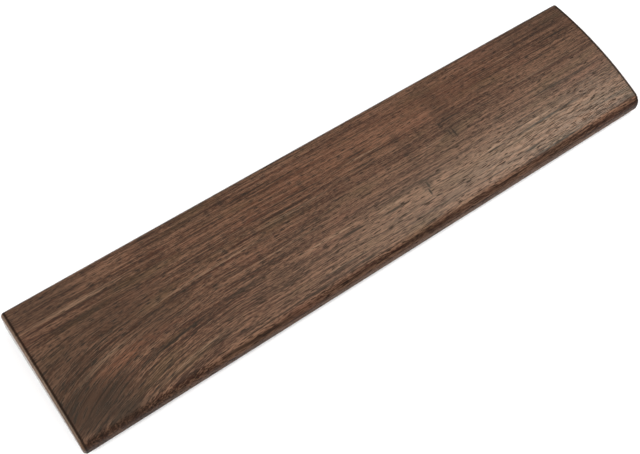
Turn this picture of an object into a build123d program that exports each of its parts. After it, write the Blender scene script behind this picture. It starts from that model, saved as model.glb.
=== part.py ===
"""Wooden keyboard wrist rest: one walnut bar on six self-adhesive silicone feet.

Frame, in millimetres: X runs along the bar, Y from the user's side to the keyboard's side, and Z up.
The origin is the middle of the bar's footprint, on the desk that the feet stand on.
"""

from build123d import *
from math import cos, radians, sin, tan
import os

# ---------------------------------------------------------------- driving dimensions
bar_length = 360.0  # as long as a tenkeyless keyboard
bar_width = 80.0

# Cross-section of the bar. Heights are above the wood's own underside, and the crown rises to
# about 20 mm between them.
front_height = 9.2  # where the crown would meet the front face, if the nose weren't rounded
rear_height = 20.0  # where the crown would meet the rear face, if that edge weren't rounded
rear_lean = 12.0  # degrees by which the rear face leans in towards the user
crown_radius = 193.0
nose_radius = 7.0  # the round that the wrists pass over
edge_radius = 2.0  # the round-over along the rear edge and both edges of the underside
end_radius = 1.9  # the same round-over round both end faces, a little less so that it never closes up

# Feet: moulded silicone discs, each held by an acrylic adhesive disc
foot_diameter = 12.0
foot_thickness = 1.8
foot_edge_radius = 0.5
dimple_diameter = 6.0  # the shallow suction dimple in the middle of a foot's sole
dimple_depth = 0.4
adhesive_diameter = 11.4
adhesive_thickness = 0.2
foot_inset_x = 24.0  # from an end face to the centre of the nearest foot
foot_inset_y = 15.0  # from a long side to the centre of a foot

# ---------------------------------------------------------------- derived dimensions
half_length = bar_length / 2
half_width = bar_width / 2
underside_z = foot_thickness + adhesive_thickness
lean = radians(rear_lean)
# how far the rear face's sharp foot has to stand out for its rounded one to reach the bar's width
foot_overhang = edge_radius * (cos(lean) + (1 + sin(lean)) * tan(lean) - 1)
foot_x = half_length - foot_inset_x
foot_y = half_width - foot_inset_y
foot_places = {
    "front_left": (-foot_x, -foot_y),
    "front_middle": (0, -foot_y),
    "front_right": (foot_x, -foot_y),
    "rear_left": (-foot_x, foot_y),
    "rear_middle": (0, foot_y),
    "rear_right": (foot_x, foot_y),
}


def walnut_bar():
    """The bar: its section is drawn on the YZ plane at the left end and drawn out along X."""
    left_end = Plane.YZ.offset(-half_length)
    front_foot = (-half_width, underside_z)
    front_top = (-half_width, underside_z + front_height)
    rear_foot = (half_width + foot_overhang, underside_z)
    rear_top = (rear_foot[0] - rear_height * tan(lean), underside_z + rear_height)
    with BuildPart() as bar:
        with BuildSketch(left_end) as section:
            with BuildLine():
                Line(rear_foot, front_foot)
                Line(front_foot, front_top)
                RadiusArc(front_top, rear_top, crown_radius)
                Line(rear_top, rear_foot)
            make_face()
            for corner, radius in (
                (front_foot, edge_radius),
                (rear_foot, edge_radius),
                (front_top, nose_radius),
                (rear_top, edge_radius),
            ):
                fillet(section.vertices().sort_by_distance((*corner, 0))[0], radius)
        extrude(amount=bar_length)
        fillet(bar.faces().filter_by(Axis.X).edges(), end_radius)
    return bar.part


def silicone_foot(place):
    """One foot: a disc with a rounded rim at the sole and a shallow dimple in the middle of it."""
    with BuildPart() as foot:
        with BuildSketch():
            with Locations(place):
                Circle(foot_diameter / 2)
        extrude(amount=foot_thickness)
        fillet(foot.faces().sort_by(Axis.Z)[0].edges(), foot_edge_radius)
        with BuildSketch():
            with Locations(place):
                Circle(dimple_diameter / 2)
        extrude(amount=dimple_depth, mode=Mode.SUBTRACT)
    return foot.part


def adhesive_disc(place):
    """The film between a foot and the wood."""
    with BuildPart() as disc:
        with BuildSketch(Plane.XY.offset(foot_thickness)):
            with Locations(place):
                Circle(adhesive_diameter / 2)
        extrude(amount=adhesive_thickness)
    return disc.part


def save(piece, name):
    """Labels a finished piece and writes it as its own STEP file."""
    piece.label = name
    export_step(piece, f"parts/{name}.step")


os.makedirs("parts", exist_ok=True)
bar = walnut_bar()
save(bar, "wooden_bar")
print("the wood is", round(bar.bounding_box().size.Z, 2), "mm thick at its crest")
for place_name, place in foot_places.items():
    save(silicone_foot(place), f"foot_{place_name}")
    save(adhesive_disc(place), f"adhesive_{place_name}")
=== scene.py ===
"""A walnut keyboard wrist rest on six silicone feet, dressed and lit as a product shot.

Everything is in metres and in the part's own frame: X runs along the bar, Y from the user's side to the
keyboard's side, Z up, with the desk at Z = 0. Patterns are laid out in millimetres inside the materials.
"""

import logging
import math
from dataclasses import dataclass
from enum import Enum

import bmesh
import bpy
from mathutils import Matrix, Vector


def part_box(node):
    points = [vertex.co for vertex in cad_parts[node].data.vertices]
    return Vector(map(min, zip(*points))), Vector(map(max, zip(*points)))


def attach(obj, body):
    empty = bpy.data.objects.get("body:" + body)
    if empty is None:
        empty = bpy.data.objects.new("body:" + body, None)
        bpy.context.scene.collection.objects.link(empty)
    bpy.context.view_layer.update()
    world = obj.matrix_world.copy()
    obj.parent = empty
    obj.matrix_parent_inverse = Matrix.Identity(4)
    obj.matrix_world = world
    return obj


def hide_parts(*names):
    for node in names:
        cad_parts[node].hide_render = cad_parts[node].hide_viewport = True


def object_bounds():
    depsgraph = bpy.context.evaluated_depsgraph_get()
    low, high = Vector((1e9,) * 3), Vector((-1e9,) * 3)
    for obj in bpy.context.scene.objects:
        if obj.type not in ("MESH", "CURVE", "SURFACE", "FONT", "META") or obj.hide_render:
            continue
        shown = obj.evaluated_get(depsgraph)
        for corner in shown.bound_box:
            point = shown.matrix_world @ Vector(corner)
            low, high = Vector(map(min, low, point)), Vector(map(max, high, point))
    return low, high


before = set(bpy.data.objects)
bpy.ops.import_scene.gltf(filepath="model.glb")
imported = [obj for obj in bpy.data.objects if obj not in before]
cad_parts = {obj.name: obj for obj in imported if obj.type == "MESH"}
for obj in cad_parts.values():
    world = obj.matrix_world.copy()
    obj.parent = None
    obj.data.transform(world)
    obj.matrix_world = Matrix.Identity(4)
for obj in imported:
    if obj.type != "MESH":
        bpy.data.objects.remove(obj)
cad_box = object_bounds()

log = logging.getLogger("wrist_rest")

MM = 0.001
MERGE_REACH = 0.0005 * MM  # outline points closer than this are one point
FACE_AREA_WEIGHT = 100  # big faces outweigh the small ones beside them as much as they can
ALONG = Vector((1.0, 0.0, 0.0))
TOWARDS_KEYBOARD = Vector((0.0, 1.0, 0.0))
UP = Vector((0.0, 0.0, 1.0))


class Slot(Enum):
    """Names for the material slots, which this script does not use."""

    WALNUT = "walnut"
    SILICONE = "foot_silicone"
    ADHESIVE = "foot_adhesive"


# ------------------------------------------------------------------------------------------ helpers
def linear(hex_colour: str) -> tuple[float, float, float, float]:
    """Turns an sRGB hex colour to the linear one that a shader takes.

    Args:
        hex_colour: The colour as "#rrggbb".

    Returns:
        Linear red, green and blue, with an alpha of 1.
    """
    channels = [int(hex_colour[i : i + 2], 16) / 255 for i in (1, 3, 5)]
    red, green, blue = (c / 12.92 if c <= 0.04045 else ((c + 0.055) / 1.055) ** 2.4 for c in channels)
    return red, green, blue, 1.0


def add_node(tree: bpy.types.NodeTree, kind: str, settings: dict[str, object] | None = None,
             links: dict[str | int, object] | None = None) -> bpy.types.Node:
    """Adds a node with its settings and its inputs.

    Args:
        tree: The node tree that the node goes in.
        kind: The node's Blender type name.
        settings: Values of the node's own properties, by name.
        links: An output socket or a plain value for each input, by the input's name or number.

    Returns:
        The new node.
    """
    node = tree.nodes.new(kind)
    for name, value in (settings or {}).items():
        setattr(node, name, value)
    for name, value in (links or {}).items():
        if isinstance(value, bpy.types.NodeSocket):
            tree.links.new(value, node.inputs[name])
        else:
            node.inputs[name].default_value = value
    return node


def new_material(name: str) -> bpy.types.Material:
    """Makes an empty node material.

    Args:
        name: What the real material is.

    Returns:
        The material, with no nodes.
    """
    material = bpy.data.materials.new(name)
    material.use_nodes = True
    material.node_tree.nodes.clear()
    return material


def arc(bm: bmesh.types.BMesh, start: bmesh.types.BMVert, centre: Vector, axis: Vector,
        angle: float, steps: int) -> bmesh.types.BMVert:
    """Carries an outline on from its last point along a circular arc.

    Args:
        bm: The mesh that the outline is in.
        start: The outline's last point so far.
        centre: The arc's centre.
        axis: The arc's axis.
        angle: The turn in radians, by the right-hand rule.
        steps: How many straight pieces the arc is drawn with.

    Returns:
        The outline's new last point.
    """
    turned = bmesh.ops.spin(bm, geom=[start], cent=centre, axis=axis, dvec=(0, 0, 0),
                            angle=angle, steps=steps, use_merge=False)
    return next(item for item in turned["geom_last"] if isinstance(item, bmesh.types.BMVert))


def straight(bm: bmesh.types.BMesh, start: bmesh.types.BMVert, end: Vector) -> bmesh.types.BMVert:
    """Carries an outline on in a straight line.

    Args:
        bm: The mesh that the outline is in.
        start: The outline's last point so far.
        end: Where the line goes.

    Returns:
        The outline's new last point.
    """
    drawn = bmesh.ops.extrude_vert_indiv(bm, verts=[start])["verts"][0]
    bmesh.ops.translate(bm, verts=[drawn], vec=end - drawn.co)
    return drawn


def finished_piece(bm: bmesh.types.BMesh, name: str, material: bpy.types.Material) -> bpy.types.Object:
    """Turns a bmesh into a smooth-shaded object at the origin, with its place in its mesh.

    Args:
        bm: The mesh, which is freed.
        name: The piece's name.
        material: The piece's finish.

    Returns:
        The new object.
    """
    bmesh.ops.remove_doubles(bm, verts=bm.verts[:], dist=MERGE_REACH)
    bmesh.ops.recalc_face_normals(bm, faces=bm.faces[:])
    for face in bm.faces:
        face.smooth = True
    mesh = bpy.data.meshes.new(name)
    bm.to_mesh(mesh)
    bm.free()
    mesh.materials.append(material)
    piece = bpy.data.objects.new(name, mesh)
    bpy.context.scene.collection.objects.link(piece)
    # the big flat faces keep their own direction, and the narrow rounds beside them take it up
    weighted = piece.modifiers.new("flat_faces_lead", "WEIGHTED_NORMAL")
    weighted.weight = FACE_AREA_WEIGHT
    weighted.keep_sharp = False
    log.info("%s: %d faces", name, len(mesh.polygons))
    return piece


def stands_for(piece: bpy.types.Object, node: str) -> None:
    """Lets a piece ride on the one body, in place of its CAD node.

    Args:
        piece: The finished piece.
        node: The CAD node that it stands for.
    """
    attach(piece, "root")
    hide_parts(node)


# ----------------------------------------------------------------------------------------- finishes
@dataclass(frozen=True)
class Mark:
    """A soft-edged oval of changed colour: a growth line if it is long. Sizes are in millimetres.

    Attributes:
        across: Its middle across the bar.
        start: Where it starts along the bar.
        end: Where it ends along the bar.
        half_width: Half its width.
        depth: How strongly it shows, from 0 to 1.
    """

    across: float
    start: float
    end: float
    half_width: float
    depth: float


@dataclass(frozen=True)
class Layer:
    """A random pattern in the wood. Sizes are in millimetres.

    Attributes:
        along: The size of a feature along the grain.
        across: Its size across the grain.
        through: Its size down from the top.
        detail: How many finer layers it has.
        reach: How far it moves what it varies, from its least to its most.
    """

    along: float
    across: float
    through: float
    detail: float = 1.0
    reach: float = 0.0


@dataclass(frozen=True)
class Fade:
    """A smooth change from one value to another.

    Attributes:
        start: Where it starts, which may be above its end.
        end: Where it ends.
        low: What it gives up to its start.
        high: What it gives past its end.
    """

    start: float
    end: float
    low: float = 0.0
    high: float = 1.0


@dataclass(frozen=True)
class GrainSpace:
    """The wood's own coordinates, as sockets that give millimetres.

    Attributes:
        x: Along the bar.
        y: Across the bar.
        z: Up from the desk.
        depth: Down from the crowned top.
        point: Where solid patterns are drawn: along the grain, across it and down from the top.
        along: Where marks that follow the grain are drawn, which tears their edges.
        bar: Where marks that don't follow it are drawn.
    """

    x: bpy.types.NodeSocket
    y: bpy.types.NodeSocket
    z: bpy.types.NodeSocket
    depth: bpy.types.NodeSocket
    point: bpy.types.NodeSocket
    along: bpy.types.NodeSocket
    bar: bpy.types.NodeSocket


@dataclass(frozen=True)
class OiledWalnut:
    """Black walnut, sanded smooth and oiled to a satin.

    It is a solid pattern, so that the grain of the top runs over the nose and shows as end grain on
    both ends. Walnut is semi-ring-porous: its open pores are short dark dashes along the grain. The
    layers, fades and marks are each explained where they are set.

    Attributes:
        heart: The darkest wood between the pores.
        pale_wood: The palest wood that the random layers reach.
        amber_and_light: The warm heartwood of the amber lines, and the painted light along the rear.
        rose: The reddish end of the colour's slow drift.
        olive: The greenish end of it.
        growth_pale_and_sheen: The pale early wood beside a growth line, and the painted sheen over the front.
        cloud: The dark of the clouds round the knots and of the painted shade patches.
        pore_and_shade: The dark of pores, late wood and knots, and of the painted shade on the nose, on the
            edges and along the foot of each end.
        end_grain: The tan of the polished ends.
        chatoyance: The tint of light that comes back from the fibres under the oil.
        roughness: How rough the oiled fibres are.
        pore_roughness: How rough the open pores are.
        end_roughness: How rough the polished ends are.
        fibre_roughness: How much the fibres vary the roughness.
        ior: The oil's refractive index.
        oiled_sheen: How strongly the oiled top mirrors.
        worn_sheen: How strongly the front of the nose, the edges and the foot of each end mirror.
        relief_mm: The height of the fibres and the depth of the pores.
        relief_strength: How much of that relief the oil leaves.
        detail_falloff: How much weaker each finer layer of a pattern is.
        bend_from: Where the bend starts, along the bar.
        bend_rate: How far it moves the grain across, for each square millimetre of the way past its start.
        bend_front: Where it is strongest, across the bar.
        bend_rear: Where it ends, across the bar.
        crest_y: The crest's place across the bar.
        crest_z: The crest's height above the desk.
        crown_radius: The radius of the top.
        ring_lean: How far the rings move across for each millimetre of depth.
        bar_half_length: Half the bar's length.
        mark_core: The share of a mark's size that shows in full.
        end_stain: How much of the end grain's tan shows.
    """

    heart: str = "#2f170e"
    pale_wood: str = "#70513e"
    amber_and_light: str = "#744a35"
    rose: str = "#684233"
    olive: str = "#4a3d28"
    growth_pale_and_sheen: str = "#876b55"
    cloud: str = "#281a12"
    pore_and_shade: str = "#160d08"
    end_grain: str = "#5a4636"
    chatoyance: str = "#ffefd8"
    roughness: float = 0.40
    pore_roughness: float = 0.75
    end_roughness: float = 0.16
    fibre_roughness: float = 0.14
    ior: float = 1.46
    oiled_sheen: float = 0.5
    worn_sheen: float = 0.08
    relief_mm: float = 0.12
    relief_strength: float = 0.40
    detail_falloff: float = 0.55

    # The grain is level except near the left end, where a swelling of the trunk draws it down to the front.
    bend_from: float = -80.0
    bend_rate: float = 0.00224
    bend_front: float = -30.0
    bend_rear: float = 13.0

    # The crown of the top, and how far the rings lean over below it, which the ends and underside show.
    crest_y: float = 24.6
    crest_z: float = 22.35
    crown_radius: float = 193.0
    ring_lean: float = 0.55
    bar_half_length: float = 180.0

    # Annual growth: slow bands 11 mm across, years of 2.6 mm in them, early and late wood in a year, fibres
    # of half a millimetre, and the flecks that break them up. The tone that they add up to runs from the
    # heart colour at the spread's start to the pale wood at its end.
    figure: Layer = Layer(240, 11, 16, 2.0)
    years: Layer = Layer(95, 2.6, 4.5, 1.0, 1.2)
    seasons: Layer = Layer(60, 1.0, 1.6, 1.0, 1.7)
    fibres: Layer = Layer(14, 0.45, 0.7, 1.0, 1.5)
    flecks: Layer = Layer(2.2, 0.35, 0.5, 1.0, 1.8)
    tone_spread: Fade = Fade(-0.05, 1.05)
    # drifts of olive and rose about 5 cm long and 1 cm across
    drift: Layer = Layer(48, 9, 12)
    olive_drift: Fade = Fade(0.52, 0.75, 0.0, 0.35)
    rose_drift: Fade = Fade(0.46, 0.25, 0.0, 0.30)
    # the grain waves by up to 1.3 mm either way, and the edges of its lines are torn by up to 0.25 mm
    waves: Layer = Layer(70, 25, 25, 1.0, 2.6)
    tears: Layer = Layer(6, 1.6, 1.6, 2.0, 0.5)
    # lines along the grain break up, and clouds, painted shade and knots fade out below the top
    breaks: Layer = Layer(9, 1.5, 1.5)
    line_breaks: Fade = Fade(0.30, 0.46, 0.60, 1.0)
    below_top: Fade = Fade(14.0, 3.0)
    mark_core: float = 0.25
    # hairlines where the late wood of a year ends, 0.8 mm wide and 60 mm long
    hairlines: Layer = Layer(60, 0.8, 1.2)
    hairline_cut: Fade = Fade(0.57, 0.67, 0.0, 0.70)
    # Open pores. Real ones are 0.2 mm wide and 2 to 8 mm long, and these are 0.3 mm so that they show.
    pore_dashes: Layer = Layer(4.5, 0.3, 0.3, 0.0)
    pore_cut: Fade = Fade(0.56, 0.68, 0.0, 0.90)
    # painted shade darkens the front of the nose, where it turns away from the light, and its shine is
    # lowered there
    painted_nose_shade: Fade = Fade(-36.8, -39.0, 0.0, 0.50)
    worn_nose: Fade = Fade(-35.2, -38.8, oiled_sheen, worn_sheen)
    # Painted shade darkens the shoulder round each end and the rear edge. The end itself is polished
    # and tan, with a painted contact shadow along its foot.
    end_polish: Fade = Fade(bar_half_length - 1.5, bar_half_length - 0.8)
    painted_end_shoulder_shade: Fade = Fade(bar_half_length - 2.7, bar_half_length - 2.0, 0.0, 0.85)
    painted_rear_edge_shade: Fade = Fade(35.2, 36.4, 0.0, 0.75)
    end_stain: float = 0.5
    painted_end_foot_shadow: Fade = Fade(5.8, 4.6, 0.0, 0.85)

    # Lines of late wood. Near the left end they follow the grain's bend, and across is where they come from.
    dark_lines: tuple[Mark, ...] = (
        Mark(13.5, -172, -116, 1.0, 0.55),
        Mark(2.5, -150, -130, 0.7, 0.60),
        Mark(-1.2, -120, -86, 0.7, 0.65),
        Mark(-2.0, -136, -104, 0.7, 0.60),
        Mark(-8.8, -118, -102, 0.7, 0.50),
        Mark(-17.3, -148, -90, 0.9, 1.00),
        Mark(-27.5, -150, -128, 0.8, 0.55),
        Mark(-30.0, -112, -84, 0.8, 0.65),
        Mark(27.0, -68, -22, 0.8, 0.85),
        Mark(12.8, -54, -2, 0.7, 0.60),
        Mark(8.0, -62, -2, 0.7, 0.60),
        Mark(4.0, -60, -12, 0.6, 0.55),
        Mark(-1.5, -14, 0, 0.7, 0.95),
        Mark(-0.5, -36, -23, 0.6, 0.55),
        Mark(-6.5, -54, -16, 0.6, 0.65),
        Mark(-11.5, -70, -42, 0.6, 0.60),
        Mark(-13.5, -28, 3, 0.7, 0.60),
        Mark(-16.5, -90, -62, 1.8, 0.45),
        Mark(-20.0, -26, 2, 0.8, 0.95),
        Mark(-29.5, -74, -46, 0.7, 0.60),
        Mark(-36.0, -58, -36, 0.7, 0.60),
        Mark(-35.5, -20, -6, 0.8, 0.95),
        Mark(25.5, 6, 44, 0.7, 0.60),
        Mark(15.5, 3, 28, 0.8, 0.90),
        Mark(11.5, 0, 38, 0.6, 0.55),
        Mark(8.0, 2, 28, 0.7, 0.85),
        Mark(6.0, 56, 88, 0.7, 0.90),
        Mark(2.0, 17, 38, 0.6, 0.55),
        Mark(13.5, 62, 81, 0.7, 0.60),
        Mark(-7.5, 0, 10, 0.7, 0.90),
        Mark(-8.0, 12, 63, 0.6, 0.55),
        Mark(-14.5, 0, 17, 0.6, 0.60),
        Mark(-16.5, 27, 48, 0.6, 0.55),
        Mark(-21.0, 0, 26, 0.8, 0.95),
        Mark(-21.5, 42, 64, 0.6, 0.60),
        Mark(-21.0, 72, 94, 0.8, 0.95),
        Mark(-35.5, 20, 38, 0.8, 0.95),
        Mark(20.0, 88, 139, 0.6, 0.65),
        Mark(19.0, 144, 179, 0.8, 0.95),
        Mark(11.5, 88, 119, 0.7, 0.85),
        Mark(12.0, 132, 150, 0.6, 0.65),
        Mark(7.5, 103, 128, 0.6, 0.55),
        Mark(2.3, 88, 108, 0.6, 0.55),
        Mark(-0.5, 112, 150, 0.6, 0.50),
        Mark(-5.0, 100, 129, 0.6, 0.60),
        Mark(-8.0, 88, 106, 0.8, 0.95),
        Mark(-7.8, 116, 154, 0.8, 0.90),
        Mark(-15.3, 92, 130, 0.6, 0.60),
        Mark(-14.5, 142, 163, 0.6, 0.55),
        Mark(-21.0, 88, 160, 0.9, 0.95),
        Mark(-23.0, 120, 148, 0.6, 0.60),
        Mark(-31.0, 94, 111, 0.9, 1.00),
        Mark(-35.5, 92, 145, 0.9, 0.95),
    )
    # pale early-wood lines; the first, broad one is a painted sheen over the front half, where the light
    # falls
    light_lines_and_sheen: tuple[Mark, ...] = (
        Mark(-24.0, -80, 225, 16, 0.30),
        Mark(21.0, -184, -112, 1.8, 0.50),
        Mark(0.5, -134, -54, 0.7, 0.45),
        Mark(-4.5, -178, -126, 1.2, 0.50),
        Mark(-28.0, -140, -86, 1.2, 0.50),
        Mark(5.5, -64, -2, 0.8, 0.65),
        Mark(0.7, -90, -50, 0.6, 0.45),
        Mark(-8.8, -88, -2, 0.6, 0.40),
        Mark(-17.0, -54, 4, 0.9, 0.65),
        Mark(-31.5, -54, 4, 0.7, 0.50),
        Mark(13.0, 2, 34, 0.7, 0.50),
        Mark(-18.5, -4, 32, 0.9, 0.75),
        Mark(-20.0, 64, 96, 0.9, 0.75),
        Mark(-1.8, 42, 68, 0.7, 0.45),
        Mark(-36.5, 36, 64, 0.8, 0.50),
        Mark(21.5, 116, 134, 0.8, 0.50),
        Mark(4.0, 108, 164, 0.8, 0.50),
        Mark(-18.5, 90, 154, 1.0, 0.80),
    )
    # an amber band by the left end, and a broad band along the rear that is partly amber heartwood and partly
    # painted light
    amber_lines_and_light: tuple[Mark, ...] = (
        Mark(-9.5, -218, -104, 4.2, 0.50),
        Mark(20.0, -120, 170, 16.0, 0.24),
    )
    # dark clouds round the knots, and broad patches of painted shade, most of them towards the left end
    clouds_and_painted_shade: tuple[Mark, ...] = (
        Mark(-6, -204, -136, 26, 0.55),
        Mark(-26, -206, -130, 18, 0.85),
        Mark(-8, -154, -94, 10, 0.40),
        Mark(29, -200, -126, 12, 0.38),
        Mark(8, -146, -96, 9, 0.30),
        Mark(30, 90, 240, 10, 0.30),
        Mark(-36, -170, -138, 6, 0.85),
        Mark(-23, -175, -161, 3, 0.50),
        Mark(5, -194, -92, 13, 0.50),
        Mark(-3.5, -118, -94, 3, 0.45),
        Mark(15, 62, 80, 26, 0.32),
        Mark(-0.5, 61, 76, 5, 0.28),
        Mark(4, 35.5, 42.5, 26, 0.30),
        Mark(-18.5, 31, 43, 4.0, 0.55),
    )
    # pin knots cut along their length: dark ticks across the grain
    ticks: tuple[Mark, ...] = (
        Mark(-0.9, 66.3, 67.9, 3.4, 0.85),
        Mark(-2.0, 68.5, 70.3, 4.6, 1.00),
        Mark(-19.5, 36.6, 38.4, 2.8, 1.00),
        Mark(-23.0, 35.4, 37.2, 3.0, 1.00),
    )

    def depth_below_top(self, tree: bpy.types.NodeTree, y: bpy.types.NodeSocket,
                        z: bpy.types.NodeSocket) -> bpy.types.NodeSocket:
        """Works out how far below the crowned top a point is.

        Args:
            tree: The material's node tree.
            y: The point's place across the bar.
            z: The point's height above the desk.

        Returns:
            The depth in millimetres.
        """
        aside = add_node(tree, "ShaderNodeMath", {"operation": "SUBTRACT"}, {0: y, 1: self.crest_y})
        squared = add_node(tree, "ShaderNodeMath", {"operation": "POWER"}, {0: aside.outputs[0], 1: 2.0})
        top = add_node(tree, "ShaderNodeMath", {"operation": "MULTIPLY_ADD"},
                       {0: squared.outputs[0], 1: -0.5 / self.crown_radius, 2: self.crest_z})
        return add_node(tree, "ShaderNodeMath", {"operation": "SUBTRACT"},
                        {0: top.outputs[0], 1: z}).outputs[0]

    def unbent(self, tree: bpy.types.NodeTree, x: bpy.types.NodeSocket,
               y: bpy.types.NodeSocket) -> bpy.types.NodeSocket:
        """Follows the bend near the left end back to where the grain comes from.

        Args:
            tree: The material's node tree.
            x: The point's place along the bar.
            y: The point's place across the bar.

        Returns:
            Where the point's grain lies across the bar, before the bend.
        """
        past = add_node(tree, "ShaderNodeMath", {"operation": "SUBTRACT"}, {0: self.bend_from, 1: x})
        past = add_node(tree, "ShaderNodeMath", {"operation": "MAXIMUM"}, {0: past.outputs[0], 1: 0.0})
        past = add_node(tree, "ShaderNodeMath", {"operation": "POWER"}, {0: past.outputs[0], 1: 2.0})
        front = add_node(tree, "ShaderNodeMapRange", {},
                         {"Value": y, "From Min": self.bend_rear, "From Max": self.bend_front})
        share = add_node(tree, "ShaderNodeMath", {"operation": "MULTIPLY"},
                         {0: front.outputs[0], 1: self.bend_rate})
        return add_node(tree, "ShaderNodeMath", {"operation": "MULTIPLY_ADD"},
                        {0: past.outputs[0], 1: share.outputs[0], 2: y}).outputs[0]

    def grain_space(self, tree: bpy.types.NodeTree) -> GrainSpace:
        """Lays out the wood's own coordinates.

        Args:
            tree: The material's node tree.

        Returns:
            The coordinates.
        """
        place = add_node(tree, "ShaderNodeTexCoord").outputs["Object"]
        bar = add_node(tree, "ShaderNodeVectorMath", {"operation": "SCALE"},
                       {0: place, "Scale": 1 / MM}).outputs[0]
        x, y, z = add_node(tree, "ShaderNodeSeparateXYZ", {}, {0: bar}).outputs
        depth = self.depth_below_top(tree, y, z)
        across = add_node(tree, "ShaderNodeMath", {"operation": "MULTIPLY_ADD"},
                          {0: depth, 1: self.ring_lean, 2: self.unbent(tree, x, y)}).outputs[0]
        across = self.varied(tree, across, bar, self.waves)
        ragged = self.varied(tree, across, bar, self.tears)
        point = add_node(tree, "ShaderNodeCombineXYZ", {}, {0: x, 1: across, 2: depth}).outputs[0]
        along = add_node(tree, "ShaderNodeCombineXYZ", {}, {0: x, 1: ragged}).outputs[0]
        return GrainSpace(x, y, z, depth, point, along, bar)

    def pattern(self, tree: bpy.types.NodeTree, point: bpy.types.NodeSocket,
                layer: Layer) -> bpy.types.NodeSocket:
        """Draws a random pattern whose features have a real size.

        Args:
            tree: The material's node tree.
            point: The point to draw it at, in millimetres.
            layer: The pattern.

        Returns:
            The pattern's value, around 0.5.
        """
        stretched = add_node(tree, "ShaderNodeVectorMath", {"operation": "DIVIDE"},
                             {0: point, 1: (layer.along, layer.across, layer.through)})
        noise = add_node(tree, "ShaderNodeTexNoise", {},
                         {"Vector": stretched.outputs[0], "Scale": 1.0, "Detail": layer.detail,
                          "Roughness": self.detail_falloff})
        return noise.outputs["Fac"]

    def shifted(self, tree: bpy.types.NodeTree, value: bpy.types.NodeSocket,
                noise: bpy.types.NodeSocket, reach: float) -> bpy.types.NodeSocket:
        """Moves a value about by up to half of reach either way.

        Args:
            tree: The material's node tree.
            value: The value to move.
            noise: The pattern that moves it.
            reach: How far the pattern moves it, from its least to its most.

        Returns:
            The moved value.
        """
        centred = add_node(tree, "ShaderNodeMath", {"operation": "SUBTRACT"}, {0: noise, 1: 0.5})
        moved = add_node(tree, "ShaderNodeMath", {"operation": "MULTIPLY_ADD"},
                         {0: centred.outputs[0], 1: reach, 2: value})
        return moved.outputs[0]

    def varied(self, tree: bpy.types.NodeTree, value: bpy.types.NodeSocket, point: bpy.types.NodeSocket,
               layer: Layer) -> bpy.types.NodeSocket:
        """Moves a value about by a layer drawn at a point, and returns it."""
        return self.shifted(tree, value, self.pattern(tree, point, layer), layer.reach)

    def ramp(self, tree: bpy.types.NodeTree, value: bpy.types.NodeSocket, fade: Fade) -> bpy.types.NodeSocket:
        """Carries a value smoothly through a fade.

        Args:
            tree: The material's node tree.
            value: The value to read.
            fade: Where the change is and what it gives.

        Returns:
            What the fade gives.
        """
        ramped = add_node(tree, "ShaderNodeMapRange", {"interpolation_type": "SMOOTHSTEP"},
                          {"Value": value, "From Min": fade.start, "From Max": fade.end,
                           "To Min": fade.low, "To Max": fade.high})
        return ramped.outputs[0]

    def drawn(self, tree: bpy.types.NodeTree, point: bpy.types.NodeSocket, marks: tuple[Mark, ...],
              shown_in: bpy.types.NodeSocket) -> bpy.types.NodeSocket:
        """Draws marks.

        Args:
            tree: The material's node tree.
            point: The point to draw them at, in millimetres.
            marks: The marks to draw.
            shown_in: A pattern that breaks them up or limits where they show.

        Returns:
            How strongly any mark shows at a point.
        """
        shown = None
        for mark in marks:
            half_length, middle = (mark.end - mark.start) / 2, (mark.start + mark.end) / 2
            sized = add_node(tree, "ShaderNodeVectorMath", {"operation": "MULTIPLY_ADD"}, {
                0: point, 1: (1 / half_length, 1 / mark.half_width, 0.0),
                2: (-middle / half_length, -mark.across / mark.half_width, 0.0)})
            far = add_node(tree, "ShaderNodeVectorMath", {"operation": "LENGTH"}, {0: sized.outputs[0]})
            oval = self.ramp(tree, far.outputs["Value"], Fade(1.0, self.mark_core, 0.0, mark.depth))
            shown = oval if shown is None else add_node(
                tree, "ShaderNodeMath", {"operation": "MAXIMUM"}, {0: shown, 1: oval}).outputs[0]
        return add_node(tree, "ShaderNodeMath", {"operation": "MULTIPLY"}, {0: shown, 1: shown_in}).outputs[0]

    def toned(self, tree: bpy.types.NodeTree, colour: bpy.types.NodeSocket,
              coats: tuple[tuple[str, bpy.types.NodeSocket], ...]) -> bpy.types.NodeSocket:
        """Lays coats of colour over one another.

        Args:
            tree: The material's node tree.
            colour: The colour under them.
            coats: The colour of each coat and how strongly it shows, from the lowest up.

        Returns:
            The colour with every coat on it.
        """
        for towards, share in coats:
            colour = add_node(tree, "ShaderNodeMix", {"data_type": "RGBA"},
                              {0: share, 6: colour, 7: linear(towards)}).outputs[2]
        return colour

    def grown(self, tree: bpy.types.NodeTree, point: bpy.types.NodeSocket,
              fibres: bpy.types.NodeSocket) -> bpy.types.NodeSocket:
        """Grows the plain wood, from its slow bands down to its flecks.

        Args:
            tree: The material's node tree.
            point: The point to draw it at, in millimetres.
            fibres: The pattern of the fibres.

        Returns:
            The plain wood's colour.
        """
        tone = self.pattern(tree, point, self.figure)
        tone = self.varied(tree, tone, point, self.years)
        tone = self.varied(tree, tone, point, self.seasons)
        tone = self.shifted(tree, tone, fibres, self.fibres.reach)
        tone = self.varied(tree, tone, point, self.flecks)
        wood = add_node(tree, "ShaderNodeMix", {"data_type": "RGBA"},
                        {0: self.ramp(tree, tone, self.tone_spread), 6: linear(self.heart),
                         7: linear(self.pale_wood)}).outputs[2]
        drift = self.pattern(tree, point, self.drift)
        return self.toned(tree, wood, ((self.olive, self.ramp(tree, drift, self.olive_drift)),
                                       (self.rose, self.ramp(tree, drift, self.rose_drift))))

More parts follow.
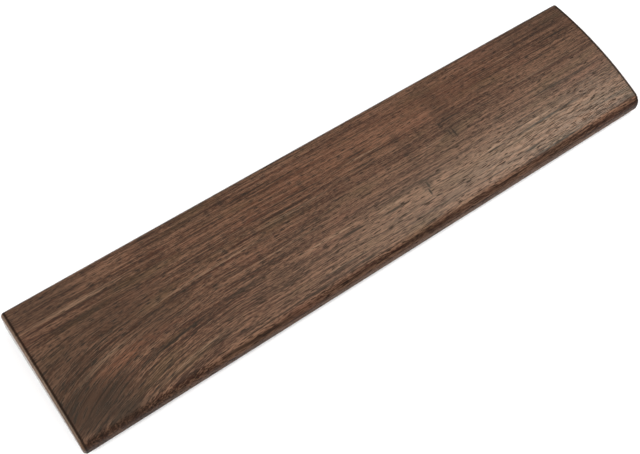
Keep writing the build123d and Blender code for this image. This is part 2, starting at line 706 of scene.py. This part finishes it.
    def marked(self, tree: bpy.types.NodeTree, wood: bpy.types.NodeSocket,
               grain: GrainSpace) -> bpy.types.NodeSocket:
        """Draws the growth lines, clouds, hairlines and knots, with painted shade, a painted sheen and
        painted light among them.

        Args:
            tree: The material's node tree.
            wood: The plain wood's colour.
            grain: The wood's coordinates.

        Returns:
            The marked wood's colour.
        """
        broken = self.ramp(tree, self.pattern(tree, grain.point, self.breaks), self.line_breaks)
        near_top = self.ramp(tree, grain.depth, self.below_top)
        hairlines = self.pattern(tree, grain.point, self.hairlines)
        return self.toned(tree, wood, (
            # amber lines, and painted light along the rear
            (self.amber_and_light, self.drawn(tree, grain.along, self.amber_lines_and_light, broken)),
            # pale lines, and a painted sheen over the front
            (self.growth_pale_and_sheen, self.drawn(tree, grain.along, self.light_lines_and_sheen, broken)),
            # clouds round the knots, and patches of painted shade
            (self.cloud, self.drawn(tree, grain.bar, self.clouds_and_painted_shade, near_top)),
            (self.pore_and_shade, self.ramp(tree, hairlines, self.hairline_cut)),
            (self.pore_and_shade, self.drawn(tree, grain.along, self.dark_lines, broken)),
            (self.pore_and_shade, self.drawn(tree, grain.bar, self.ticks, near_top)),
        ))

    def painted_edge_shade(self, tree: bpy.types.NodeTree, grain: GrainSpace, far: bpy.types.NodeSocket,
                   polish: bpy.types.NodeSocket) -> bpy.types.NodeSocket:
        """Finds the painted shade on the shoulder round each end and along the rear edge.

        Args:
            tree: The material's node tree.
            grain: The wood's coordinates.
            far: How far a point is from the middle of the bar, along it.
            polish: How polished it is, as the ends are.

        Returns:
            How much painted shade the edges get.
        """
        shoulder = self.ramp(tree, far, self.painted_end_shoulder_shade)
        unpolished = add_node(tree, "ShaderNodeMath", {"operation": "MULTIPLY_ADD"},
                              {0: polish, 1: -1.0, 2: 1.0}).outputs[0]
        shoulder = add_node(tree, "ShaderNodeMath", {"operation": "MULTIPLY"},
                            {0: shoulder, 1: unpolished}).outputs[0]
        return add_node(tree, "ShaderNodeMath", {"operation": "MAXIMUM"},
                        {0: shoulder, 1: self.ramp(tree, grain.y, self.painted_rear_edge_shade)}).outputs[0]

    def satin(self, tree: bpy.types.NodeTree, fibres: bpy.types.NodeSocket, pores: bpy.types.NodeSocket,
              polish: bpy.types.NodeSocket) -> bpy.types.NodeSocket:
        """Finds the roughness: oil sits on the fibres and sinks into the pores, which stay dull.

        Args:
            tree: The material's node tree.
            fibres: The pattern of the fibres.
            pores: Where the pores are.
            polish: How polished a point is, as the ends are.

        Returns:
            The roughness.
        """
        oiled = self.ramp(tree, pores, Fade(0.0, 1.0, self.roughness, self.pore_roughness))
        return add_node(tree, "ShaderNodeMix", {"data_type": "FLOAT"},
                        {0: polish, 2: self.shifted(tree, oiled, fibres, self.fibre_roughness),
                         3: self.end_roughness}).outputs[0]

    def material(self) -> bpy.types.Material:
        """Makes the finish.

        Returns:
            The oiled walnut.
        """
        finish = new_material("oiled_black_walnut")
        tree = finish.node_tree
        grain = self.grain_space(tree)
        fibres = self.pattern(tree, grain.point, self.fibres)
        pores = self.ramp(tree, self.pattern(tree, grain.point, self.pore_dashes), self.pore_cut)
        wood = self.marked(tree, self.grown(tree, grain.point, fibres), grain)

        far = add_node(tree, "ShaderNodeMath", {"operation": "ABSOLUTE"}, {0: grain.x}).outputs[0]
        polish = self.ramp(tree, far, self.end_polish)
        # painted shade on the shoulder round each end and along the rear edge
        edges = self.painted_edge_shade(tree, grain, far, polish)
        stain = add_node(tree, "ShaderNodeMath", {"operation": "MULTIPLY"}, {0: polish, 1: self.end_stain})
        # a painted contact shadow along the foot of each end
        end_foot_shadow = add_node(tree, "ShaderNodeMath", {"operation": "MULTIPLY"},
                         {0: self.ramp(tree, grain.z, self.painted_end_foot_shadow), 1: polish}).outputs[0]
        # pores, painted shade on the front of the nose and on the edges, the ends' tan, and the painted
        # contact shadow along their foot
        wood = self.toned(tree, wood, ((self.pore_and_shade, pores),
                                       (self.pore_and_shade, self.ramp(tree, grain.y, self.painted_nose_shade)),
                                       (self.pore_and_shade, edges), (self.end_grain, stain.outputs[0]),
                                       (self.pore_and_shade, end_foot_shadow)))

        dull = add_node(tree, "ShaderNodeMath", {"operation": "MAXIMUM"}, {0: end_foot_shadow, 1: edges})
        sheen = add_node(tree, "ShaderNodeMix", {"data_type": "FLOAT"},
                         {0: dull.outputs[0], 2: self.ramp(tree, grain.y, self.worn_nose),
                          3: self.worn_sheen}).outputs[0]
        relief = add_node(tree, "ShaderNodeMath", {"operation": "MULTIPLY_ADD"},
                          {0: pores, 1: -1.0, 2: fibres})
        bump = add_node(tree, "ShaderNodeBump", {},
                        {"Strength": self.relief_strength, "Distance": self.relief_mm * MM,
                         "Height": relief.outputs[0]})
        shader = add_node(tree, "ShaderNodeBsdfPrincipled", {},
                          {"Base Color": wood, "Roughness": self.satin(tree, fibres, pores, polish),
                           "IOR": self.ior, "Specular IOR Level": sheen,
                           "Specular Tint": linear(self.chatoyance), "Normal": bump.outputs[0]})
        add_node(tree, "ShaderNodeOutputMaterial", {}, {"Surface": shader.outputs[0]})
        return finish


@dataclass(frozen=True)
class MouldedSilicone:
    """Black silicone from a spark-eroded mould, which leaves it matt with a fine even grain.

    Attributes:
        colour: The colour in the grain's hollows.
        grain_tops: The colour on its tops.
        roughness: How rough it is.
        ior: Its refractive index.
        grit_mm: The size of the mould's grain, in millimetres.
        relief_mm: The grain's height, in millimetres.
        relief_strength: How much of that height shows.
    """

    colour: str = "#1b1b1c"
    grain_tops: str = "#29292a"
    roughness: float = 0.62
    ior: float = 1.41
    grit_mm: float = 0.25
    relief_mm: float = 0.03
    relief_strength: float = 0.25

    def material(self) -> bpy.types.Material:
        """Makes the finish.

        Returns:
            The silicone.
        """
        finish = new_material("moulded_black_silicone")
        tree = finish.node_tree
        place = add_node(tree, "ShaderNodeTexCoord").outputs["Object"]
        grit = add_node(tree, "ShaderNodeTexNoise", {},
                        {"Vector": place, "Scale": 1 / (self.grit_mm * MM), "Detail": 2.0})
        bump = add_node(tree, "ShaderNodeBump", {},
                        {"Strength": self.relief_strength, "Distance": self.relief_mm * MM,
                         "Height": grit.outputs["Fac"]})
        tint = add_node(tree, "ShaderNodeMix", {"data_type": "RGBA"},
                        {0: grit.outputs["Fac"], 6: linear(self.colour), 7: linear(self.grain_tops)})
        shader = add_node(tree, "ShaderNodeBsdfPrincipled", {},
                          {"Base Color": tint.outputs[2], "Roughness": self.roughness, "IOR": self.ior,
                           "Normal": bump.outputs[0]})
        add_node(tree, "ShaderNodeOutputMaterial", {}, {"Surface": shader.outputs[0]})
        return finish


@dataclass(frozen=True)
class AcrylicAdhesive:
    """Pale acrylic film, slightly cloudy where it has wetted the wood unevenly.

    Attributes:
        colour: The colour of the clear film.
        cloudy: The colour of its clouds.
        roughness: How rough it is.
        cloud_mm: The size of a cloud, in millimetres.
    """

    colour: str = "#e5e3d9"
    cloudy: str = "#cfccbd"
    roughness: float = 0.35
    cloud_mm: float = 2.0

    def material(self) -> bpy.types.Material:
        """Makes the finish.

        Returns:
            The film.
        """
        finish = new_material("acrylic_adhesive_film")
        tree = finish.node_tree
        place = add_node(tree, "ShaderNodeTexCoord").outputs["Object"]
        cloud = add_node(tree, "ShaderNodeTexNoise", {},
                         {"Vector": place, "Scale": 1 / (self.cloud_mm * MM), "Detail": 2.0})
        tint = add_node(tree, "ShaderNodeMix", {"data_type": "RGBA"},
                        {0: cloud.outputs["Fac"], 6: linear(self.colour), 7: linear(self.cloudy)})
        shader = add_node(tree, "ShaderNodeBsdfPrincipled", {},
                          {"Base Color": tint.outputs[2], "Roughness": self.roughness})
        add_node(tree, "ShaderNodeOutputMaterial", {}, {"Surface": shader.outputs[0]})
        return finish


# --------------------------------------------------------------------------------------- assemblies
@dataclass
class WoodenBar:
    """The bar of walnut. Its section is drawn once and carried along X. Sizes are in metres.

    Attributes:
        node: The CAD node that it stands for.
        front_height: Where the crown would meet the front face.
        rear_height: Where the crown would meet the rear face.
        rear_lean: How far the rear face leans in towards the user, in degrees.
        crown_radius: The radius of the top.
        nose_radius: The round along the user's side.
        edge_radius: The round-over along the rear edge and both edges of the underside.
        end_radius: The round-over round both ends.
        crown_steps: How many straight pieces the top is drawn with.
        round_steps: How many the nose and the rear edge are each drawn with.
        edge_steps: How many each edge of the underside is drawn with.
        end_steps: How many the round-over round each end is drawn with.
    """

    node: str = "wooden_bar"
    front_height: float = 9.2 * MM
    rear_height: float = 20.0 * MM
    rear_lean: float = 12.0
    crown_radius: float = 193.0 * MM
    nose_radius: float = 7.0 * MM
    edge_radius: float = 2.0 * MM
    end_radius: float = 1.9 * MM
    crown_steps: int = 128
    round_steps: int = 28
    edge_steps: int = 12
    end_steps: int = 8

    def crown_centre(self, front: Vector, rear: Vector) -> Vector:
        """Finds the centre of the top's arc.

        Args:
            front: Where the crown would meet the front face.
            rear: Where the crown would meet the rear face.

        Returns:
            The centre, in the plane of the left end.
        """
        chord = rear - front
        outward = ALONG.cross(chord).normalized()
        return (front + rear) / 2 - outward * math.sqrt(self.crown_radius**2 - (chord.length / 2) ** 2)

    def round_centre(self, crown: Vector, foot: Vector, face: Vector, inward: Vector,
                     radius: float) -> Vector:
        """Finds the centre of a round that touches the crown and a side face from inside.

        Args:
            crown: The centre of the top's arc.
            foot: A point of the side face.
            face: The direction up the side face.
            inward: The direction from the side face into the wood.
            radius: The round's radius.

        Returns:
            The centre, in the plane of the left end.
        """
        base = foot + inward * radius
        along = (base - crown).dot(face)
        reach = self.crown_radius - radius
        return base + face * (math.sqrt(along**2 - (base - crown).length_squared + reach**2) - along)

    def section(self, bm: bmesh.types.BMesh, low: Vector, high: Vector) -> None:
        """Draws the section as one closed outline in the plane of the left end, and fills it.

        Args:
            bm: The mesh to draw in.
            low: The bar's lowest corner.
            high: The bar's highest corner.
        """
        edge, lean = self.edge_radius, math.radians(self.rear_lean)
        face = Vector((0.0, -math.sin(lean), math.cos(lean)))
        outward = face.cross(ALONG)
        # the rear face's sharp foot stands out for its rounded one to reach the bar's width
        overhang = edge * (math.cos(lean) + (1 + math.sin(lean)) * math.tan(lean) - 1)
        front_foot = Vector((low.x, low.y, low.z))
        rear_foot = Vector((low.x, high.y + overhang, low.z))

        crown = self.crown_centre(front_foot + UP * self.front_height,
                                  rear_foot + face * (self.rear_height / math.cos(lean)))
        nose = self.round_centre(crown, front_foot, UP, TOWARDS_KEYBOARD, self.nose_radius)
        rear = self.round_centre(crown, rear_foot, face, -outward, edge)
        nose_angle = math.atan2(nose.z - crown.z, nose.y - crown.y)
        rear_angle = math.atan2(rear.z - crown.z, rear.y - crown.y)
        front_ease = Vector((low.x, low.y + edge, low.z + edge))
        rear_ease = Vector((low.x, high.y - edge, low.z + edge))

        first = bm.verts.new((low.x, low.y + edge, low.z))
        last = arc(bm, first, front_ease, ALONG, -math.pi / 2, self.edge_steps)
        last = straight(bm, last, Vector((low.x, low.y, nose.z)))
        last = arc(bm, last, nose, ALONG, nose_angle - math.pi, self.round_steps)
        last = arc(bm, last, crown, ALONG, rear_angle - nose_angle, self.crown_steps)
        last = arc(bm, last, rear, ALONG, lean - rear_angle, self.round_steps)
        last = straight(bm, last, rear_ease + outward * edge)
        last = arc(bm, last, rear_ease, ALONG, -math.pi / 2 - lean, self.edge_steps)
        bmesh.ops.contextual_create(bm, geom=[last, first])
        bmesh.ops.contextual_create(bm, geom=bm.edges[:])

    def build(self, finish: bpy.types.Material) -> bpy.types.Object:
        """Builds the bar and puts it in its CAD node's place.

        Args:
            finish: The wood.

        Returns:
            The bar.
        """
        low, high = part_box(self.node)
        bm = bmesh.new()
        self.section(bm, low, high)
        drawn_out = bmesh.ops.extrude_face_region(bm, geom=bm.faces[:])
        moved = [item for item in drawn_out["geom"] if isinstance(item, bmesh.types.BMVert)]
        bmesh.ops.translate(bm, verts=moved, vec=ALONG * (high.x - low.x))
        # every face along the bar has four corners
        ends = [face for face in bm.faces if len(face.verts) > 4]
        rims = list({edge for face in ends for edge in face.edges})
        bmesh.ops.bevel(bm, geom=rims, offset=self.end_radius, offset_type="OFFSET",
                        segments=self.end_steps, profile=0.5, affect="EDGES", clamp_overlap=False,
                        material=-1)
        piece = finished_piece(bm, "walnut_bar", finish)
        stands_for(piece, self.node)
        return piece


@dataclass
class SiliconeFoot:
    """One moulded foot: a disc turned from its section, with a rounded rim and a dimple in its sole.

    Attributes:
        place: Which foot it is, as its CAD node's name ends.
        rim_radius: The round between its sole and its side.
        dimple_radius: The radius of the dimple.
        dimple_depth: How deep the dimple is.
        lip_radius: The small bevel at the dimple's rim and floor.
        rim_steps: How many straight pieces the rim is drawn with.
        turns: How many steps the section is turned in.
    """

    place: str
    rim_radius: float = 0.5 * MM
    dimple_radius: float = 3.0 * MM
    dimple_depth: float = 0.4 * MM
    lip_radius: float = 0.15 * MM
    rim_steps: int = 8
    turns: int = 72

    def build(self, finish: bpy.types.Material) -> bpy.types.Object:
        """Turns the foot about its own axis and puts it in its CAD node's place.

        Args:
            finish: The silicone.

        Returns:
            The foot.
        """
        node = f"foot_{self.place}"
        low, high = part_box(node)
        middle = (low + high) / 2
        radius = (high.x - low.x) / 2
        rim, lip = self.rim_radius, self.lip_radius

        def at(out: float, z: float) -> Vector:
            """A point of the section, out from the axis and up from the sole."""
            return Vector((middle.x + out, middle.y, low.z + z))

        bm = bmesh.new()
        last = bm.verts.new(at(0, self.dimple_depth))
        last = straight(bm, last, at(self.dimple_radius - lip, self.dimple_depth))
        last = straight(bm, last, at(self.dimple_radius, self.dimple_depth - lip))
        last = straight(bm, last, at(self.dimple_radius, lip))
        last = straight(bm, last, at(self.dimple_radius + lip, 0))
        last = straight(bm, last, at(radius - rim, 0))
        last = arc(bm, last, at(radius - rim, rim), TOWARDS_KEYBOARD, -math.pi / 2, self.rim_steps)
        last = straight(bm, last, at(radius, high.z - low.z))
        straight(bm, last, at(0, high.z - low.z))
        bmesh.ops.spin(bm, geom=bm.verts[:] + bm.edges[:], cent=at(0, 0), axis=UP, dvec=(0, 0, 0),
                       angle=math.tau, steps=self.turns, use_merge=True)
        piece = finished_piece(bm, f"silicone_{node}", finish)
        stands_for(piece, node)
        return piece


@dataclass
class AdhesiveFilm:
    """The film between a foot and the wood, with the rounded edge that squeezed-out acrylic has.

    Attributes:
        place: Which foot it holds, as its CAD node's name ends.
        edge_steps: How many straight pieces its edge is drawn with.
        turns: How many steps the section is turned in.
    """

    place: str
    edge_steps: int = 6
    turns: int = 72

    def build(self, finish: bpy.types.Material) -> bpy.types.Object:
        """Turns the film about its own axis and puts it in its CAD node's place.

        Args:
            finish: The adhesive.

        Returns:
            The film.
        """
        node = f"adhesive_{self.place}"
        low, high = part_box(node)
        middle = (low + high) / 2
        half = (high.z - low.z) / 2
        edge = (high.x - low.x) / 2 - half
        bm = bmesh.new()
        last = bm.verts.new((middle.x, middle.y, low.z))
        last = straight(bm, last, Vector((middle.x + edge, middle.y, low.z)))
        last = arc(bm, last, Vector((middle.x + edge, middle.y, middle.z)), TOWARDS_KEYBOARD, -math.pi,
                   self.edge_steps)
        straight(bm, last, Vector((middle.x, middle.y, high.z)))
        bmesh.ops.spin(bm, geom=bm.verts[:] + bm.edges[:], cent=middle, axis=UP, dvec=(0, 0, 0),
                       angle=math.tau, steps=self.turns, use_merge=True)
        piece = finished_piece(bm, f"film_{node}", finish)
        stands_for(piece, node)
        return piece


# ------------------------------------------------------------------------------------------- studio
@dataclass(frozen=True)
class Softbox:
    """A square soft light that faces the bar.

    Attributes:
        name: Its name.
        towards: The direction that it stands in, seen from the bar.
        distance: How far off it stands, in metres.
        size: Its side, in metres.
        power: Its power in watts.
    """

    name: str
    towards: tuple[float, float, float]
    distance: float
    size: float
    power: float

    def build(self, aim: Vector) -> None:
        """Puts the light up.

        Args:
            aim: The point that it faces.
        """
        direction = Vector(self.towards).normalized()
        data = bpy.data.lights.new(self.name, "AREA")
        data.shape, data.size, data.energy = "SQUARE", self.size, self.power
        light = bpy.data.objects.new(self.name, data)
        light.location = aim + direction * self.distance
        light.rotation_euler = direction.to_track_quat("Z", "Y").to_euler()
        bpy.context.scene.collection.objects.link(light)


@dataclass(frozen=True)
class Studio:
    """A white paper floor under soft light, with the camera over the user's left shoulder.

    Attributes:
        azimuth: The camera's turn from straight behind the user, in degrees.
        elevation: How far it looks down, in degrees.
        roll: How far it leans over, in degrees.
        distance: From the camera to the point that it looks at, in metres.
        aim_offset: That point, from the middle of the bar's footprint, in metres.
        lens: The focal length, in millimetres.
        sensor_width: The width of the camera's sensor, in millimetres.
        near_clip: The nearest that the camera sees, in metres.
        floor_half: Half the side of the floor, in metres.
        paper: The floor's colour.
        paper_roughness: How rough the floor is.
        walls: The room's colour.
        room_bright: The direction that the room is brightest in.
        room_mean: How bright the room is on average.
        room_swing: How much brighter or darker it is at its extremes.
        lights: The softboxes.
    """

    azimuth: float = -40.482
    elevation: float = 58.509
    roll: float = 5.218
    distance: float = 517.0 * MM
    aim_offset: tuple[float, float, float] = (-22.8 * MM, -5.8 * MM, 12.0 * MM)
    lens: float = 56.36
    sensor_width: float = 36.0
    near_clip: float = 0.01
    floor_half: float = 4.0
    paper: str = "#ffffff"
    paper_roughness: float = 0.9
    walls: str = "#ffffff"
    room_bright: tuple[float, float, float] = (-0.55, -0.05, -0.76)
    room_mean: float = 1.12
    room_swing: float = 0.90
    lights: tuple[Softbox, ...] = (
        Softbox("sheen_softbox", (0.60, -0.24, 0.76), 1.3, 0.5, 8.0),
        Softbox("left_softbox", (-0.78, 0.0, 0.62), 1.6, 1.4, 16.0),
        Softbox("front_softbox", (-0.10, -0.85, 0.52), 1.6, 1.4, 9.0),
    )

    def floor(self) -> None:
        """Lays the white paper that the bar stands on."""
        bm = bmesh.new()
        bmesh.ops.create_grid(bm, x_segments=1, y_segments=1, size=self.floor_half)
        mesh = bpy.data.meshes.new("paper_floor")
        bm.to_mesh(mesh)
        bm.free()
        finish = new_material("white_studio_paper")
        shader = add_node(finish.node_tree, "ShaderNodeBsdfPrincipled", {},
                          {"Base Color": linear(self.paper), "Roughness": self.paper_roughness})
        add_node(finish.node_tree, "ShaderNodeOutputMaterial", {}, {"Surface": shader.outputs[0]})
        mesh.materials.append(finish)
        floor = bpy.data.objects.new("paper_floor", mesh)
        bpy.context.scene.collection.objects.link(floor)

    def camera(self, footprint: Vector) -> None:
        """Sets the camera up.

        Args:
            footprint: The middle of the bar's footprint.
        """
        turn, rise = math.radians(self.azimuth), math.radians(self.elevation)
        back = Vector((math.sin(turn) * math.cos(rise), -math.cos(turn) * math.cos(rise), math.sin(rise)))
        level = Vector((math.cos(turn), math.sin(turn), 0.0))
        stance = Matrix((level, back.cross(level), back)).transposed()
        data = bpy.data.cameras.new("camera")
        data.lens, data.sensor_width, data.sensor_fit = self.lens, self.sensor_width, "HORIZONTAL"
        data.clip_start = self.near_clip
        camera = bpy.data.objects.new("camera", data)
        leaning = stance @ Matrix.Rotation(math.radians(self.roll), 3, "Z")
        camera.matrix_world = Matrix.Translation(footprint + Vector(self.aim_offset)
                                                 + back * self.distance) @ leaning.to_4x4()
        bpy.context.scene.collection.objects.link(camera)
        bpy.context.scene.camera = camera

    def room(self) -> None:
        """Lights the room: pale walls, palest low on the left, under a darker ceiling."""
        world = bpy.data.worlds.new("studio")
        world.use_nodes = True
        tree = world.node_tree
        tree.nodes.clear()
        direction = add_node(tree, "ShaderNodeTexCoord").outputs["Generated"]
        facing = add_node(tree, "ShaderNodeVectorMath", {"operation": "DOT_PRODUCT"},
                          {0: direction, 1: Vector(self.room_bright).normalized()})
        strength = add_node(tree, "ShaderNodeMath", {"operation": "MULTIPLY_ADD"},
                            {0: facing.outputs["Value"], 1: self.room_swing, 2: self.room_mean})
        glow = add_node(tree, "ShaderNodeBackground", {},
                        {"Color": linear(self.walls), "Strength": strength.outputs[0]})
        add_node(tree, "ShaderNodeOutputWorld", {}, {"Surface": glow.outputs[0]})
        bpy.context.scene.world = world

    def build(self) -> None:
        """Builds the floor, the lights and the camera."""
        low, high = cad_box
        footprint = Vector(((low[0] + high[0]) / 2, (low[1] + high[1]) / 2, low[2]))
        self.floor()
        self.camera(footprint)
        for light in self.lights:
            light.build(footprint)
        self.room()
        bpy.context.scene.view_settings.view_transform = "Standard"


def main() -> None:
    """Builds the studio, then the bar, then each foot with its adhesive."""
    logging.basicConfig(level=logging.INFO, format="%(name)s: %(message)s")
    Studio().build()
    WoodenBar().build(OiledWalnut().material())
    silicone, adhesive = MouldedSilicone().material(), AcrylicAdhesive().material()
    places = sorted(name.removeprefix("foot_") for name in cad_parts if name.startswith("foot_"))
    for place in places:
        SiliconeFoot(place).build(silicone)
        AdhesiveFilm(place).build(adhesive)


if __name__ == "__main__":
    main()
